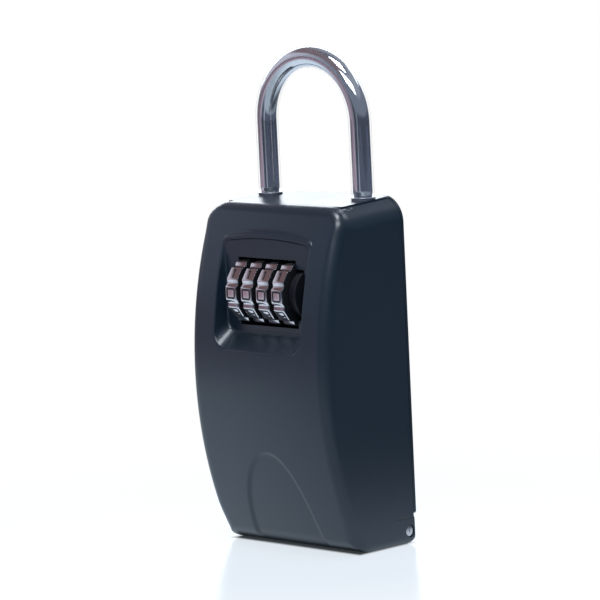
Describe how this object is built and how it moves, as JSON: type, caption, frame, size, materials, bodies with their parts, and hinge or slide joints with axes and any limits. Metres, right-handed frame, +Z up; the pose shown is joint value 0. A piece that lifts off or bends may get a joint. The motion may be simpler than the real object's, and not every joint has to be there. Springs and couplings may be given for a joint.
{
  "type": "portable key lock box",
  "caption": "Portable combination key lock box: a deep curved front cover with numbered dials hinged on a shallow back body, under a plated shackle.",
  "frame": {"origin": "middle of the foot, at the centre of the bounding box's bottom face", "axes": "+Z up towards the shackle's bow, -Y out of the curved front with the dials, +X to the right seen from the front"},
  "size_m": [0.072, 0.0454, 0.1891],
  "materials": {
    "housing_black": "satin powder coat",
    "cover_black": "satin powder coat",
    "pin_steel": "turned",
    "shackle_chrome": "polished",
    "clear_vinyl": "clear",
    "spring_steel": "bright",
    "seal_rubber": "matte",
    "zinc_plate": "zinc plated",
    "screw_steel": "bright",
    "lock_plastic": "fine grain",
    "bolt_steel": "ground",
    "dial_chrome": "polished",
    "cam_black": "moulded"
  },
  "bodies": {
    "case": {"back_body": "housing_black", "hinge_pin": "pin_steel", "shackle_seal_left": "seal_rubber", "shackle_seal_right": "seal_rubber", "slider_retainer": "zinc_plate", "retainer_screws": "screw_steel", "strike_plate": "zinc_plate", "strike_screws": "screw_steel", "key_hook": "zinc_plate", "hook_screw": "screw_steel"},
    "door": {"front_cover": "cover_black", "lock_housing": "lock_plastic", "housing_screws": "screw_steel", "dial_axle": "pin_steel", "detent_spring": "spring_steel", "fence_springs": "spring_steel", "latch_springs": "spring_steel", "lever_pivot": "screw_steel"},
    "dial_1": {"dial_1": "dial_chrome", "gate_cam_1": "cam_black"},
    "dial_2": {"dial_2": "dial_chrome", "gate_cam_2": "cam_black"},
    "dial_3": {"dial_3": "dial_chrome", "gate_cam_3": "cam_black"},
    "dial_4": {"dial_4": "dial_chrome", "gate_cam_4": "cam_black"},
    "fence": {"fence_bar": "zinc_plate"},
    "latch": {"latch_bolt": "bolt_steel"},
    "change_lever": {"code_change_lever": "zinc_plate"},
    "shackle": {"shackle": "shackle_chrome", "shackle_sleeve": "clear_vinyl", "shackle_ring": "spring_steel"},
    "shackle_slider": {"shackle_lock_slider": "zinc_plate"}
  },
  "joints": [
    {"name": "door_hinge", "type": "hinge", "parent": "case", "child": "door", "pos_m": [0, 0.01915, 0.005], "axis": [1, 0, 0], "range_deg": [0, 100]},
    {"name": "dial_1_turn", "type": "hinge", "parent": "door", "child": "dial_1", "pos_m": [-0.01215, -0.01015, 0.0982], "axis": [1, 0, 0], "continuous": true},
    {"name": "dial_2_turn", "type": "hinge", "parent": "door", "child": "dial_2", "pos_m": [-0.00405, -0.01015, 0.0982], "axis": [1, 0, 0], "continuous": true},
    {"name": "dial_3_turn", "type": "hinge", "parent": "door", "child": "dial_3", "pos_m": [0.00405, -0.01015, 0.0982], "axis": [1, 0, 0], "continuous": true},
    {"name": "dial_4_turn", "type": "hinge", "parent": "door", "child": "dial_4", "pos_m": [0.01215, -0.01015, 0.0982], "axis": [1, 0, 0], "continuous": true},
    {"name": "fence_drop", "type": "slide", "parent": "door", "child": "fence", "axis": [0, 0, 1], "range_m": [-0.0018, 0], "deforming": ["fence_springs"]},
    {"name": "latch_slide", "type": "slide", "parent": "door", "child": "latch", "axis": [0, 0, 1], "range_m": [0, 0.0021], "deforming": ["latch_springs"]},
    {"name": "change_lever_turn", "type": "hinge", "parent": "door", "child": "change_lever", "pos_m": [-0.013, 0.0057, 0.09], "axis": [0, 1, 0], "range_deg": [0, 60]},
    {"name": "shackle_rise", "type": "slide", "parent": "case", "child": "shackle", "axis": [0, 0, 1], "range_m": [0, 0.028]},
    {"name": "shackle_slider_shift", "type": "slide", "parent": "case", "child": "shackle_slider", "axis": [1, 0, 0], "range_m": [0, 0.0035]}
  ]
}
